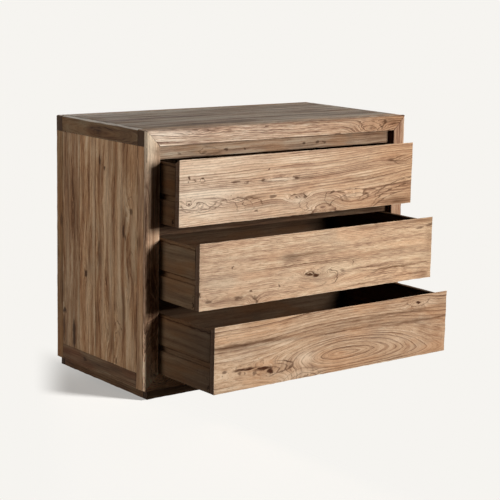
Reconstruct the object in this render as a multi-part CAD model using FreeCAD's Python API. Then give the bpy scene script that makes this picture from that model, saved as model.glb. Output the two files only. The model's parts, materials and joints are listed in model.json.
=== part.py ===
# A low three-drawer chest in reclaimed wood: a post and rail carcass with boarded
# sides and top, a mitred picture-frame front, a recessed plinth and three inset
# drawers without handles, hung on wooden runners in grooves along their sides.
# +Z is up, the front faces -Y and the width lies along X. Sizes are in millimetres.
import os
import FreeCAD
import Part

os.makedirs("parts", exist_ok=True)

# overall size
overall_width = 1000.0
overall_depth = 500.0
overall_height = 790.0

# mitred front frame
frame_width = 47.0
frame_thickness = 14.0
eased_edge = 1.5
mitre_margin = 1.0

# carcass timber
front_post_depth = 33.0
rear_post_depth = 37.0
side_thickness = 22.0
top_board_thickness = 22.0
back_panel_thickness = 8.0
back_panel_inset = 4.0
bottom_panel_thickness = 6.0
side_board_shares = (0.29, 0.25, 0.22, 0.24)
top_board_shares = (0.36, 0.30, 0.34)

# plinth
plinth_height = 26.0
plinth_thickness = 20.0
plinth_side_recess = 10.0
plinth_front_recess = 4.0
plinth_rear_recess = 10.0

# joinery
tenon_length = 18.0
tenon_shoulder = 6.0
tongue_length = 6.0
tongue_thickness = 7.0
joint_clearance = 0.2

# drawers, named from the bottom up
drawer_names = ("lower", "middle", "upper")
lower_rest_opening = 270.0
middle_rest_opening = 194.0
upper_rest_opening = 92.0
front_thickness = 21.0
front_side_clearance = 2.0
front_bottom_clearance = 1.0
finger_gap = 28.0
finger_bevel = 12.0
rail_recess = 25.0
rail_overlap = 14.0
rail_clearance = 1.0
side_top_clearance = 2.0
drawer_length = 470.0
drawer_side_thickness = 15.0
drawer_back_thickness = 12.0
drawer_bottom_thickness = 6.0
drawer_bottom_rise = 10.0
drawer_groove_depth = 6.0

# runners on the carcass and the drawer side grooves that hang on them
groove_height = 17.0
groove_depth = 8.0
groove_rise = 72.0
runner_play = 1.0
screw_radius = 2.0
screw_head_radius = 4.0
screw_head_depth = 2.5
screw_grip = 12.0
screw_hole_clearance = 0.1

# cleats under the ends of the top boards
cleat_size = 22.0

# positions that follow from the sizes above
half_width = overall_width / 2
rest_openings = dict(zip(drawer_names, (lower_rest_opening, middle_rest_opening, upper_rest_opening)))
carcass_front = (max(rest_openings.values()) - overall_depth) / 2
carcass_back = carcass_front + overall_depth
frame_back = carcass_front + frame_thickness
post_back = frame_back + front_post_depth
rear_post_front = carcass_back - rear_post_depth
opening_half = half_width - frame_width
side_inner = half_width - side_thickness
opening_low = plinth_height + frame_width
opening_high = overall_height - frame_width
opening_height = opening_high - opening_low
front_height = (opening_height - front_bottom_clearance) / len(drawer_names) - finger_gap
front_half = opening_half - front_side_clearance
rail_front = carcass_front + rail_recess
drawer_side_height = front_height - rail_overlap - side_top_clearance
runner_inner = front_half - groove_depth + runner_play
drawer_bottoms = {}
for number, name in enumerate(drawer_names):
    drawer_bottoms[name] = opening_low + front_bottom_clearance + number * (front_height + finger_gap)


def block(x_range, y_range, z_range):
    size_x = x_range[1] - x_range[0]
    size_y = y_range[1] - y_range[0]
    size_z = z_range[1] - z_range[0]
    corner = FreeCAD.Vector(x_range[0], y_range[0], z_range[0])
    return Part.makeBox(size_x, size_y, size_z, corner)


def grown(x_range, y_range, z_range, clearance):
    return block((x_range[0] - clearance, x_range[1] + clearance),
                 (y_range[0] - clearance, y_range[1] + clearance),
                 (z_range[0] - clearance, z_range[1] + clearance))


def prism(points, direction):
    corners = [FreeCAD.Vector(*point) for point in points]
    outline = Part.makePolygon(corners + [corners[0]])
    return Part.Face(outline).extrude(FreeCAD.Vector(*direction))


def mirrored(shape):
    return shape.mirror(FreeCAD.Vector(0, 0, 0), FreeCAD.Vector(1, 0, 0))


def save(name, shape):
    shape.exportStep("parts/" + name + ".step")


def save_pair(name, right_shape):
    save(name + "_right", right_shape)
    save(name + "_left", mirrored(right_shape))


# The frame members share one section: flat at the back, both front arrises eased.
def frame_member(start, end, inward):
    along = FreeCAD.Vector(*end) - FreeCAD.Vector(*start)
    base = FreeCAD.Vector(*start)
    across = FreeCAD.Vector(*inward)
    depth = FreeCAD.Vector(0, 1, 0)
    section = [(0, frame_thickness), (0, eased_edge), (eased_edge, 0),
               (frame_width - eased_edge, 0), (frame_width, eased_edge), (frame_width, frame_thickness)]
    corners = [base + across * side + depth * back for side, back in section]
    outline = Part.makePolygon(corners + [corners[0]])
    return Part.Face(outline).extrude(along)


def frame_mitre(low_z, high_z):
    front = carcass_front - mitre_margin
    reach = (high_z - low_z) / 2
    points = [(-half_width, front, low_z), (half_width, front, low_z),
              (half_width - reach, front, low_z + reach), (-half_width + reach, front, low_z + reach)]
    return prism(points, (0, frame_thickness + 2 * mitre_margin, 0))


# front frame: the rails keep what lies inside the mitre wedges, the stiles the rest
frame_wedge_low = frame_mitre(plinth_height, overall_height)
mirror_height = (plinth_height + overall_height) / 2
frame_wedge_high = frame_wedge_low.mirror(FreeCAD.Vector(0, 0, mirror_height), FreeCAD.Vector(0, 0, 1))
bottom_member = frame_member((-half_width, carcass_front, plinth_height),
                             (half_width, carcass_front, plinth_height), (0, 0, 1))
top_member = frame_member((-half_width, carcass_front, overall_height),
                          (half_width, carcass_front, overall_height), (0, 0, -1))
right_member = frame_member((half_width, carcass_front, plinth_height),
                            (half_width, carcass_front, overall_height), (-1, 0, 0))
save("frame_bottom_rail", bottom_member.common(frame_wedge_low))
save("frame_top_rail", top_member.common(frame_wedge_high))
save_pair("frame_stile", right_member.cut(frame_wedge_low).cut(frame_wedge_high))

# rails across the front: (low z, high z, front y) of each, between the posts
rail_levels = {}
for number, name in enumerate(drawer_names[1:]):
    below = drawer_names[number]
    rail_low = drawer_bottoms[below] + front_height - rail_overlap
    rail_levels["drawer_rail_" + name] = (rail_low, drawer_bottoms[name] - rail_clearance, rail_front)
top_rail_low = drawer_bottoms["upper"] + front_height - rail_overlap
rail_levels["drawer_rail_top"] = (top_rail_low, opening_high, rail_front)
rail_levels["bottom_front_rail"] = (plinth_height, opening_low, frame_back)


def rail_tenon(level):
    low, high, front = level
    tenon_y = (front + tenon_shoulder, post_back - tenon_shoulder)
    tenon_z = (low + tenon_shoulder, high - tenon_shoulder)
    return (opening_half, opening_half + tenon_length), tenon_y, tenon_z


for name, level in rail_levels.items():
    low, high, front = level
    rail = block((-opening_half, opening_half), (front, post_back), (low, high))
    tenon = block(*rail_tenon(level))
    save(name, rail.fuse([tenon, mirrored(tenon)]).removeSplitter())

# rear bottom rail
rear_rail_back = carcass_back - back_panel_inset - back_panel_thickness
rear_rail_front = rear_post_front
rear_tenon = ((opening_half, opening_half + tenon_length),
              (rear_rail_front + tenon_shoulder, rear_rail_back - tenon_shoulder),
              (plinth_height + tenon_shoulder, opening_low - tenon_shoulder))
rear_rail = block((-opening_half, opening_half), (rear_rail_front, rear_rail_back),
                  (plinth_height, opening_low))
rear_rail_tenon = block(*rear_tenon)
save("bottom_rear_rail", rear_rail.fuse([rear_rail_tenon, mirrored(rear_rail_tenon)]).removeSplitter())

# posts, with a stub tenon up into the top rails and mortises for the cross rails
front_post_tenon = ((opening_half + tenon_shoulder, half_width - tenon_shoulder),
                    (frame_back + tenon_shoulder, post_back - tenon_shoulder),
                    (opening_high, opening_high + tenon_length))
rear_post_tenon = (front_post_tenon[0],
                   (rear_post_front + tenon_shoulder, carcass_back - tenon_shoulder),
                   front_post_tenon[2])

# side rails, with tongues at both ends and a groove for the side boards
board_centre_x = (side_inner + half_width) / 2
tongue_x = (board_centre_x - tongue_thickness / 2, board_centre_x + tongue_thickness / 2)
side_rail_tongues = {}
for name, low in (("bottom", plinth_height), ("top", opening_high)):
    tongue_z = (low + tenon_shoulder, low + frame_width - tenon_shoulder)
    side_rail_tongues[name] = ((tongue_x, (post_back - tongue_length, post_back), tongue_z),
                               (tongue_x, (rear_post_front, rear_post_front + tongue_length), tongue_z))

front_post = block((opening_half, half_width), (frame_back, post_back), (plinth_height, opening_high))
front_post = front_post.fuse(block(*front_post_tenon))
for level in rail_levels.values():
    front_post = front_post.cut(grown(*rail_tenon(level), joint_clearance))
front_post = front_post.cut(grown(*side_rail_tongues["bottom"][0], joint_clearance))
save_pair("front_post", front_post.removeSplitter())

rear_post = block((opening_half, half_width), (rear_post_front, carcass_back), (plinth_height, opening_high))
rear_post = rear_post.fuse(block(*rear_post_tenon))
rear_post = rear_post.cut(grown(*rear_tenon, joint_clearance))
rear_post = rear_post.cut(grown(*side_rail_tongues["bottom"][1], joint_clearance))
save_pair("rear_post", rear_post.removeSplitter())

# top rails run the full width, so their end grain shows at the sides
top_front_rail = block((-half_width, half_width), (frame_back, post_back), (opening_high, overall_height))
top_rear_rail = block((-half_width, half_width), (rear_post_front, carcass_back),
                      (opening_high, overall_height))
for side_number, tenon in enumerate((front_post_tenon, rear_post_tenon)):
    mortise = grown(*tenon, joint_clearance)
    tongue_slot = grown(*side_rail_tongues["top"][side_number], joint_clearance)
    cutters = [mortise, mirrored(mortise), tongue_slot, mirrored(tongue_slot)]
    if side_number == 0:
        top_front_rail = top_front_rail.cut(cutters)
    else:
        top_rear_rail = top_rear_rail.cut(cutters)
save("top_front_rail", top_front_rail)
save("top_rear_rail", top_rear_rail)

side_groove_low = (tongue_x, (post_back, rear_post_front), (opening_low - tongue_length, opening_low))
side_groove_high = (tongue_x, (post_back, rear_post_front), (opening_high, opening_high + tongue_length))
top_tongue_z_centre = overall_height - top_board_thickness / 2
top_tongue_z = (top_tongue_z_centre - tongue_thickness / 2, top_tongue_z_centre + tongue_thickness / 2)
top_groove = ((side_inner, side_inner + tongue_length), (post_back, rear_post_front), top_tongue_z)


def groove_cutter(groove, open_side):
    cutter = grown(*groove, joint_clearance)
    clip = block((-half_width, half_width), (groove[1][0], groove[1][1]), (0, overall_height))
    return cutter.common(clip) if open_side else cutter


side_rail_low = block((side_inner, half_width), (post_back, rear_post_front), (plinth_height, opening_low))
side_rail_low = side_rail_low.fuse([block(*tongue) for tongue in side_rail_tongues["bottom"]])
side_rail_low = side_rail_low.cut(groove_cutter(side_groove_low, True))
save_pair("side_bottom_rail", side_rail_low.removeSplitter())

side_rail_high = block((side_inner, half_width), (post_back, rear_post_front),
                       (opening_high, overall_height))
side_rail_high = side_rail_high.fuse([block(*tongue) for tongue in side_rail_tongues["top"]])
side_rail_high = side_rail_high.cut(groove_cutter(side_groove_high, True))
side_rail_high = side_rail_high.cut(groove_cutter(top_groove, True))
save_pair("side_top_rail", side_rail_high.removeSplitter())

# screws that hold each runner, one into every side board
board_run = rear_post_front - post_back
side_board_edges = [post_back]
for share in side_board_shares:
    side_board_edges.append(side_board_edges[-1] + board_run * share)
side_board_centres = [(low + high) / 2 for low, high in zip(side_board_edges, side_board_edges[1:])]
runner_levels = {}
for name in drawer_names:
    groove_low = drawer_bottoms[name] + groove_rise
    runner_levels[name] = (groove_low + runner_play, groove_low + groove_height)


def screw(clearance, y, z):
    outward = FreeCAD.Vector(1, 0, 0)
    start = FreeCAD.Vector(runner_inner, y, z)
    length = side_inner + screw_grip - runner_inner + clearance
    shank = Part.makeCylinder(screw_radius + clearance, length, start, outward)
    head = Part.makeCone(screw_head_radius + clearance, screw_radius + clearance, screw_head_depth,
                         start, outward)
    return shank.fuse(head).removeSplitter()


screw_places = [(y, sum(runner_levels[name]) / 2) for name in drawer_names for y in side_board_centres]
screws = [screw(0, y, z) for y, z in screw_places]
save("runner_screws", Part.makeCompound(screws + [mirrored(shape) for shape in screws]))
screw_holes = Part.makeCompound([screw(screw_hole_clearance, y, z) for y, z in screw_places])

# runners between the posts, standing in past the post faces into the drawer grooves
for name in drawer_names:
    runner = block((runner_inner, side_inner), (post_back, rear_post_front), runner_levels[name])
    save_pair("runner_" + name, runner.cut(screw_holes))

# upright side boards, tongued into the rails above and below
for number, board_start in enumerate(side_board_edges[:-1], 1):
    board_end = side_board_edges[number]
    board = block((side_inner, half_width), (board_start, board_end), (opening_low, opening_high))
    low_tongue = block(tongue_x, (board_start, board_end), side_groove_low[2])
    high_tongue = block(tongue_x, (board_start, board_end), side_groove_high[2])
    board = board.fuse([low_tongue, high_tongue]).removeSplitter()
    save_pair("side_board_%d" % number, board.cut(screw_holes))

# top boards, laid lengthwise and tongued into the side rails
board_start = post_back
top_board_low = overall_height - top_board_thickness
for number, share in enumerate(top_board_shares, 1):
    board_end = board_start + board_run * share
    board = block((-side_inner, side_inner), (board_start, board_end), (top_board_low, overall_height))
    tongue = block(top_groove[0], (board_start, board_end), top_tongue_z)
    save("top_board_%d" % number, board.fuse([tongue, mirrored(tongue)]).removeSplitter())
    board_start = board_end

# back and bottom panels
back_panel_back = carcass_back - back_panel_inset
save("back_panel", block((-opening_half, opening_half),
                         (back_panel_back - back_panel_thickness, back_panel_back),
                         (plinth_height, opening_high)))
bottom_panel_top = plinth_height + bottom_panel_thickness
save("bottom_panel", block((-side_inner, side_inner), (post_back, rear_post_front),
                           (plinth_height, bottom_panel_top)))

# cleats that the top boards rest on at their ends
save_pair("top_cleat", block((side_inner - cleat_size, side_inner), (post_back, rear_post_front),
                             (top_board_low - cleat_size, top_board_low)))

# plinth
plinth_half = half_width - plinth_side_recess
plinth_front = carcass_front + plinth_front_recess
plinth_back = carcass_back - plinth_rear_recess
save("plinth_front", block((-plinth_half, plinth_half), (plinth_front, plinth_front + plinth_thickness),
                           (0, plinth_height)))
save("plinth_rear", block((-plinth_half, plinth_half), (plinth_back - plinth_thickness, plinth_back),
                          (0, plinth_height)))
save_pair("plinth_side", block((plinth_half - plinth_thickness, plinth_half),
                               (plinth_front + plinth_thickness, plinth_back - plinth_thickness),
                               (0, plinth_height)))

# drawers, each drawn as far open as it stands at rest
side_x = (front_half - drawer_side_thickness, front_half)
for name in drawer_names:
    front_y = carcass_front - rest_openings[name]
    inner_y = front_y + front_thickness
    back_y = front_y + drawer_length
    low = drawer_bottoms[name]
    side_top = low + drawer_side_height
    panel_low = low + drawer_bottom_rise
    panel_top = panel_low + drawer_bottom_thickness
    panel = ((-side_x[0] - drawer_groove_depth, side_x[0] + drawer_groove_depth),
             (inner_y - drawer_groove_depth, back_y), (panel_low, panel_top))
    panel_cutter = grown(*panel, joint_clearance)

    front_top = low + front_height
    section = [(-front_half, front_y + eased_edge, low), (-front_half, front_y, low + eased_edge),
               (-front_half, front_y, front_top - eased_edge), (-front_half, front_y + eased_edge, front_top),
               (-front_half, inner_y, front_top - finger_bevel), (-front_half, inner_y, low)]
    front = prism(section, (2 * front_half, 0, 0))
    save("drawer_front_" + name, front.cut(panel_cutter))

    side = block(side_x, (inner_y, back_y), (low, side_top)).cut(panel_cutter)
    groove_low = low + groove_rise
    side = side.cut(block((front_half - groove_depth, front_half), (inner_y, back_y),
                          (groove_low, groove_low + groove_height)))
    save_pair("drawer_side_" + name, side)

    save("drawer_back_" + name, block((-side_x[0], side_x[0]), (back_y - drawer_back_thickness, back_y),
                                      (panel_top, side_top)))
    save("drawer_bottom_" + name, block(*panel))

print("front height", round(front_height, 3), "drawer bottoms", drawer_bottoms)
print("drawer side height", drawer_side_height, "runner levels", runner_levels)
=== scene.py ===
import json
import math
import bpy
from mathutils import Matrix, Vector

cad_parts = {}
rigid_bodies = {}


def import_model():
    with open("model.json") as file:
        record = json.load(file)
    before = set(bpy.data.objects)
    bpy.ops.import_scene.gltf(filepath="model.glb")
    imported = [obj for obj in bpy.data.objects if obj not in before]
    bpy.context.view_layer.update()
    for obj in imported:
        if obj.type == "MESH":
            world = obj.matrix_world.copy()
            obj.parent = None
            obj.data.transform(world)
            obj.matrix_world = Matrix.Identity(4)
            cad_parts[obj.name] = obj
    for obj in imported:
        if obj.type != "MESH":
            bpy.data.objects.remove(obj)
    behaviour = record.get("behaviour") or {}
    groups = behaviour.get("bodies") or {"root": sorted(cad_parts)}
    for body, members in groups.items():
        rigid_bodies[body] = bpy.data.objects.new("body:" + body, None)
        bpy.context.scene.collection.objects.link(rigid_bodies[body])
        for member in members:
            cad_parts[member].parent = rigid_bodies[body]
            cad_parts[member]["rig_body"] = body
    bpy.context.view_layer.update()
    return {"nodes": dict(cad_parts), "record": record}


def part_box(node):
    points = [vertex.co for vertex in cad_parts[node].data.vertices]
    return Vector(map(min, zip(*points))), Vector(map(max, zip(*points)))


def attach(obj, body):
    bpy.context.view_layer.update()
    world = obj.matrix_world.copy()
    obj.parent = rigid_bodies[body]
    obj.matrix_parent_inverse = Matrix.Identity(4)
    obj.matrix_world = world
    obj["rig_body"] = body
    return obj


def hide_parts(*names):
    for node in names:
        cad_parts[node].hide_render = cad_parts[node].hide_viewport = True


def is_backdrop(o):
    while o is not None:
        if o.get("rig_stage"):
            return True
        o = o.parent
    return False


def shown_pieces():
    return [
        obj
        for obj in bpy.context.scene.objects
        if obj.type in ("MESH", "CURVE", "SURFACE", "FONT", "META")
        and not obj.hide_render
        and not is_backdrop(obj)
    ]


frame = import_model()
scene = bpy.context.scene
millimetre = 0.001
slotOfNode = {entry["node"]: entry["material_slot"] for entry in frame["record"]["subparts"]}
print("frame loaded:", len(frame["nodes"]), "nodes")


class Strand:  # one output of a shader node, used like a number
    def __init__(self, finish, socket):
        self.finish = finish
        self.socket = socket

    def sum(self, operation, *others):
        return self.finish.sum(operation, self, *others)

    def __add__(self, other):
        return self.sum("ADD", other)
    __radd__ = __add__

    def __sub__(self, other):
        return self.sum("SUBTRACT", other)

    def __rsub__(self, other):
        return self.finish.sum("SUBTRACT", other, self)

    def __mul__(self, other):
        return self.sum("MULTIPLY", other)
    __rmul__ = __mul__

    def __truediv__(self, other):
        return self.sum("DIVIDE", other)

    def __rtruediv__(self, other):
        return self.finish.sum("DIVIDE", other, self)

    def __pow__(self, other):
        return self.sum("POWER", other)


class Finish:  # a material, or the world, and the nodes that paint it
    def __init__(self, name, owner=None):
        self.material = owner or bpy.data.materials.new(name)
        self.material.use_nodes = True
        self.tree = self.material.node_tree
        self.tree.nodes.clear()

    def node(self, kind, sockets=None, output=0, **settings):
        made = self.tree.nodes.new("ShaderNode" + kind)
        for key, value in settings.items():
            if key == "stops":  # a ramp's stops, (place, colour) each
                ramp = made.color_ramp
                while len(ramp.elements) > 1:
                    ramp.elements.remove(ramp.elements[-1])
                ramp.elements[0].position, ramp.elements[0].color = value[0]
                for place, colour in value[1:]:
                    ramp.elements.new(place).color = colour
            else:
                setattr(made, key, value)
        for key, value in (sockets or {}).items():
            if isinstance(value, Strand):
                self.tree.links.new(value.socket, made.inputs[key])
            else:
                made.inputs[key].default_value = value
        return Strand(self, made.outputs[output]) if len(made.outputs) else None

    def sum(self, operation, *values):
        return self.node("Math", dict(enumerate(values)), operation=operation)

    def vectorSum(self, operation, *values, output="Value"):
        return self.node("VectorMath", dict(enumerate(values)), output, operation=operation)

    def coordinates(self, kind):
        return self.node("TexCoord", output=kind)

    def parts(self, vector):
        made = self.tree.nodes.new("ShaderNodeSeparateXYZ")
        self.tree.links.new(vector.socket, made.inputs[0])
        return [Strand(self, socket) for socket in made.outputs]

    def vector(self, x, y, z):
        return self.node("CombineXYZ", {0: x, 1: y, 2: z})

    def noise(self, place, detail=2.0, roughness=0.5, scale=1.0, output=0):
        return self.node("TexNoise", {
            "Vector": place, "Scale": scale, "Detail": detail, "Roughness": roughness}, output)

    def rise(self, value, low, high, top=1.0):  # 0 at low, climbing smoothly to the top at high
        return self.node("MapRange", {0: value, 1: low, 2: high, 3: 0.0, 4: top},
                         interpolation_type="SMOOTHSTEP")

    def blend(self, share, first, second, way="MIX"):
        return self.node("Mix", {0: share, 6: first, 7: second}, 2,
                         data_type="RGBA", blend_type=way, clamp_factor=True)

    def wayFrom(self, spot, place, depth):  # the way from a spot's centre, measured in its half sizes
        along, across, halfLength, halfHeight = spot
        return self.vectorSum("MULTIPLY_ADD", place, (1 / halfLength, 1 / halfHeight, 1 / depth),
                              (-along / halfLength, -across / halfHeight, 0.0), output="Vector")

    def gap(self, spot, place, depth):  # the square of that way's length
        way = self.wayFrom(spot, place, depth)
        return self.vectorSum("DOT_PRODUCT", way, way)

    def hump(self, spot, place, depth):
        return (self.gap(spot, place, depth) * -1.0).sum("EXPONENT")

    def surface(self, shader, owner="Material"):
        self.node("Output" + owner, {"Surface": shader})

    def seen(self):  # 1 wherever the camera looks, straight, by a reflection or through glass
        rays = self.tree.nodes.new("ShaderNodeLightPath").outputs
        kinds = ("Is Camera Ray", "Is Glossy Ray", "Is Transmission Ray")
        straight, mirrored, through = [Strand(self, rays[kind]) for kind in kinds]
        return straight + mirrored + through


def linear(hexColour, stain=(1.0, 1.0, 1.0)):  # a written colour, taken off the sRGB curve and stained
    values = [int(hexColour[start:start + 2], 16) / 255 for start in (0, 2, 4)]
    bent = [v / 12.92 if v <= 0.04045 else ((v + 0.055) / 1.055) ** 2.4 for v in values]
    return tuple(min(1.0, v * s) for v, s in zip(bent, stain)) + (1.0,)


woodDefaults = {
    "grain": "xzy",  # world axes of: along the grain, across it, into the board
    "seed": 1,
    "palest": "ead0b3",  # the wood's own colours, palest to darkest
    "light": "d3b191",
    "middle": "ba967a",
    "deep": "91705a",
    "line": "563a28",
    "knot": "432412",
    "end": "4a3a2d",
    "worn": "e8d5bd",
    "blush": "d29a6c",  # warm and grey patches
    "grey": "a3927f",
    "stain": (1, 1, 1),  # darkens every colour of the wood but its end grain; on some parts it also paints shade
    "leftTone": (1, 1, 1),  # painted light: a drift of brightness from the board's low end to its high end, for the lamps' falloff, shade and highlights
    "rightTone": (1, 1, 1),
    "spacing": 7,  # millimetres from ring to ring on the face
    "heart": (0, -400, 30),  # the log's centre: along, across and under the board
    "lean": 0.02,  # how fast the log's centre dives away from that point, onwards
    "leanBack": 0.02,  # and backwards, to no more than leanCap millimetres
    "leanCap": 400,
    "pointed": 0,  # millimetres by which the rings come to a point along the board
    "tilt": 0,
    "sway": 26,  # millimetres by which the rings bend, slowly, faster and raggedly
    "waver": 7,
    "ripple": 2.2,
    "lineStrength": 0.7,
    "lineSharpness": 3.5,
    "bandStrength": 1.1,
    "bandWidth": 15,
    "streakStrength": 1.7,
    "streakSize": (90, 3.8),  # length along the grain and height across it
    "fibreStrength": 1,
    "poreStrength": 0.5,
    "evenness": 0.5,  # where the tones sit between deep and palest
    "blushShare": 0.4,
    "greyShare": 0.35,
    "figures": (),  # (along, across, half length, half height, lift)
    "knots": (),  # (along, across, half length, half height, depth of colour)
    "marks": (),  # the same, for stains, dark streaks and, on some parts, painted shade
    "pales": (),  # the same, for light patches and, on some parts, painted highlights
    "curls": (),  # (along, across, half length, half height, facing, opening, width, strength)
    "weathered": None,  # the colour an upper face is painted: part fading, part painted sheen
    "wornEdge": 0.35,
    "endShare": 0.8,
    "darkFace": None,  # a face painted dark as shade, as an axis letter and a sign
    "roughness": 0.68,
    "gloss": 0.1,
    "relief": 0.35,
    "reliefDepth": 0.0006,
    "seedStep": 37,
    "crowding": (34, 2.6),  # over how many millimetres the rings crowd, and by how many rings
    "blushRise": (0.44, 0.66),  # where in their noise blushes, greys and pores start and are full
    "greyRise": (0.5, 0.7),
    "poreRise": (0.62, 0.72),
    "wobbleSize": (26, 10),  # how far what is drawn on the board wobbles, along and across
    # the colour marks darken towards, for stains and painted shade alike
    "stainColour": (0.26, 0.18, 0.13, 1),
    "spotDepth": 60,  # how far figures and pale patches reach into the board
    "knotDepth": 40,
    "faceTurn": (0.5, 0.8),  # how squarely a face has to look along an axis to count
}

# millimetres along, across and into the board, axes that carry the seed, detail and roughness
grainNoises = {  # a size of None comes from the wood's own values
    "wobble": ((26, 9, 9), "v", 2, 0.5),
    "sway": ((420, 110, 110), "u", 1, 0.5),
    "waver": ((105, 26, 26), "v", 2, 0.5),
    "broken": ((60, 12, 12), "v", 2, 0.5),
    "band": ((300, None, 40), "v", 1, 0.5),
    "streak": ((None, None, 12), "v", 2, 0.55),
    "fibre": ((34, 1.7, 3), "v", 3, 0.65),
    "pore": ((10, 0.8, 0.8), "u", 1, 0.5),
    "patch": ((190, 48, 48), "w", 2, 0.5),
    "cloud": ((130, 60, 60), "uv", 3, 0.5),
    "speckle": ((30, 1.6, 1.1), "", 2, 0.5),
}


def darker(first, second):
    return second if first is None else first.sum("MAXIMUM", second)


def woodFinish(node, **changes):
    wood = dict(woodDefaults, **changes)
    finish = Finish("wood_" + node)
    low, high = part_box(node)
    seed = wood["seed"] * wood["seedStep"]
    local = finish.node("Mapping", {
        0: finish.coordinates("Object"), 1: [-c / millimetre for c in low], 3: [1 / millimetre] * 3})
    axes = dict(zip("xyz", finish.parts(local)))
    size = dict(zip("xyz", [(b - a) / millimetre for a, b in zip(low, high)]))
    u, v, w = [axes[letter] for letter in wood["grain"]]
    lengths = [size[letter] for letter in wood["grain"]]

    def grainNoise(name, across=v, output=0, **sizes):
        (length, height, depth), seeded, detail, roughness = grainNoises[name]
        parts = (u / sizes.get("length", length), across / sizes.get("height", height), w / depth)
        parts = [part + seed if letter in seeded else part for part, letter in zip(parts, "uvw")]
        return finish.noise(finish.vector(*parts), detail, roughness, output=output)

    # a small wobble that everything drawn on the board follows
    wobbleU, wobbleV, ragged = finish.parts(grainNoise("wobble", output=1))
    reachU, reachV = wood["wobbleSize"]
    place = finish.vector(u + (wobbleU - 0.5) * reachU, v + (wobbleV - 0.5) * reachV, w)

    # the rings: distance from the log's centre, bent by slow sways and by each figure
    bent = v + (grainNoise("sway") - 0.5) * wood["sway"] + (grainNoise("waver") - 0.5) * wood["waver"]
    bent = bent + (ragged - 0.5) * wood["ripple"] + u * wood["tilt"]
    for *spot, lift in wood["figures"]:
        bent = bent + finish.hump(spot, place, wood["spotDepth"]) * lift
    heartU, heartV, heartW = wood["heart"]
    dive = ((u - heartU) * wood["lean"]).sum("MAXIMUM", (heartU - u) * wood["leanBack"])
    dive = dive.sum("SMOOTH_MIN", wood["leanCap"], wood["leanCap"] * 0.6)
    rise = (bent - heartV).sum("ABSOLUTE") + wood["pointed"]
    radius = finish.vectorSum("LENGTH", finish.vector(dive, rise, w + heartW))
    slope = finish.vectorSum("LENGTH", finish.vector(dive * 0.2, rise, 0.0))
    slope = (slope / radius).sum("MAXIMUM", 0.15)
    crowdLength, crowdRings = wood["crowding"]
    crowded = finish.noise(finish.vector(radius / crowdLength, seed, 0.0), 1.0) * crowdRings
    rings = radius / wood["spacing"] + crowded
    share = rings.sum("FRACT")
    ringNumber = rings.sum("FLOOR") + seed
    strength = finish.node("TexWhiteNoise", {"W": ringNumber}, noise_dimensions="1D")
    broken = grainNoise("broken")
    fromLine = (1.0 - share) / slope
    narrow = (1.0 - fromLine).sum("MAXIMUM", 0.0) ** wood["lineSharpness"]
    ringLine = narrow * finish.rise(fromLine, 0.0, 0.06) * (strength * 0.7 + 0.3)
    ringLine = ringLine * finish.rise(broken, 0.3, 0.52)
    hazy = share * (strength * 0.8 + 0.2)

    # bands, streaks, fibres and pores run with the rings
    streakLength, streakHeight = wood["streakSize"]
    band = grainNoise("band", radius, height=wood["bandWidth"]) - 0.5
    streak = grainNoise("streak", radius, length=streakLength, height=streakHeight) - 0.5
    fibre = grainNoise("fibre", radius) - 0.5
    poreMask = finish.rise(grainNoise("pore", radius), *wood["poreRise"])
    tone = band * wood["bandStrength"] + streak * wood["streakStrength"] + fibre * wood["fibreStrength"]
    tone = tone - (hazy - 0.3) * (wood["lineStrength"] * 0.3) + wood["evenness"]

    palest, light, middle, deep, line, knotColour, worn, blush, grey = [
        linear(wood[key], wood["stain"])
        for key in ("palest", "light", "middle", "deep", "line", "knot", "worn", "blush", "grey")]
    tones = ((0.0, line), (0.17, deep), (0.4, middle), (0.6, light), (0.9, palest))
    colour = finish.node("ValToRGB", {0: tone}, stops=tones)
    for name, kind, tint in (("patch", "blush", blush), ("cloud", "grey", grey)):
        share = finish.rise(grainNoise(name), *wood[kind + "Rise"], wood[kind + "Share"])
        colour = finish.blend(share, colour, tint)
    # pale patches: lighter wood, and on some parts a painted highlight
    for *spot, amount in wood["pales"]:
        colour = finish.blend(finish.hump(spot, place, wood["spotDepth"]) * amount, colour, palest)
    # marks darken the colour: stains and dark streaks, and on some parts painted shade
    for *spot, amount in wood["marks"]:
        share = finish.hump(spot, place, wood["knotDepth"]) * (streak * 2.5 + 1.0) * amount
        colour = finish.blend(share, colour, wood["stainColour"], "MULTIPLY")
    colour = finish.blend(ringLine * wood["lineStrength"], colour, line)
    colour = finish.blend(poreMask * wood["poreStrength"], colour, line)

    # curls are the bold lines that wrap round a knot, knots their dark hearts
    curls = None
    for *spot, facing, opening, width, amount in wood["curls"]:
        way = finish.wayFrom(spot, place, math.inf)
        gap = (finish.vectorSum("LENGTH", way) - 1.0).sum("ABSOLUTE") * spot[3]
        curl = finish.rise(gap, width, width * 0.2, amount)
        if opening > -1:  # else it goes all the way round
            bearing = (math.cos(math.radians(facing)), math.sin(math.radians(facing)), 0.0)
            side = finish.vectorSum("DOT_PRODUCT", way, bearing)
            curl = curl * finish.rise(side, opening - 0.25, opening + 0.25)
        curls = darker(curls, curl)
    if curls is not None:
        curls = curls * finish.rise(broken, 0.26, 0.5)
        colour = finish.blend(curls, colour, line)
    hearts = None
    for *spot, amount in wood["knots"]:
        gap = finish.gap(spot, place, wood["knotDepth"])
        core = finish.rise(gap + (ragged - 0.5) * 3.0 - fibre * 1.5, 1.9, 0.2, min(1.0, amount * 1.2))
        hearts = darker(hearts, core)
    if hearts is not None:
        colour = finish.blend(hearts, colour, knotColour)
        curls = darker(curls, hearts)
    # painted light: the colour brightens or darkens from the board's low end to its high end
    if {wood["leftTone"], wood["rightTone"]} != {(1.0, 1.0, 1.0)}:
        paintedLightDrift = finish.blend(u / lengths[0], wood["leftTone"] + (1.0,), wood["rightTone"] + (1.0,))
        colour = finish.blend(1.0, colour, paintedLightDrift, "MULTIPLY")

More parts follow.
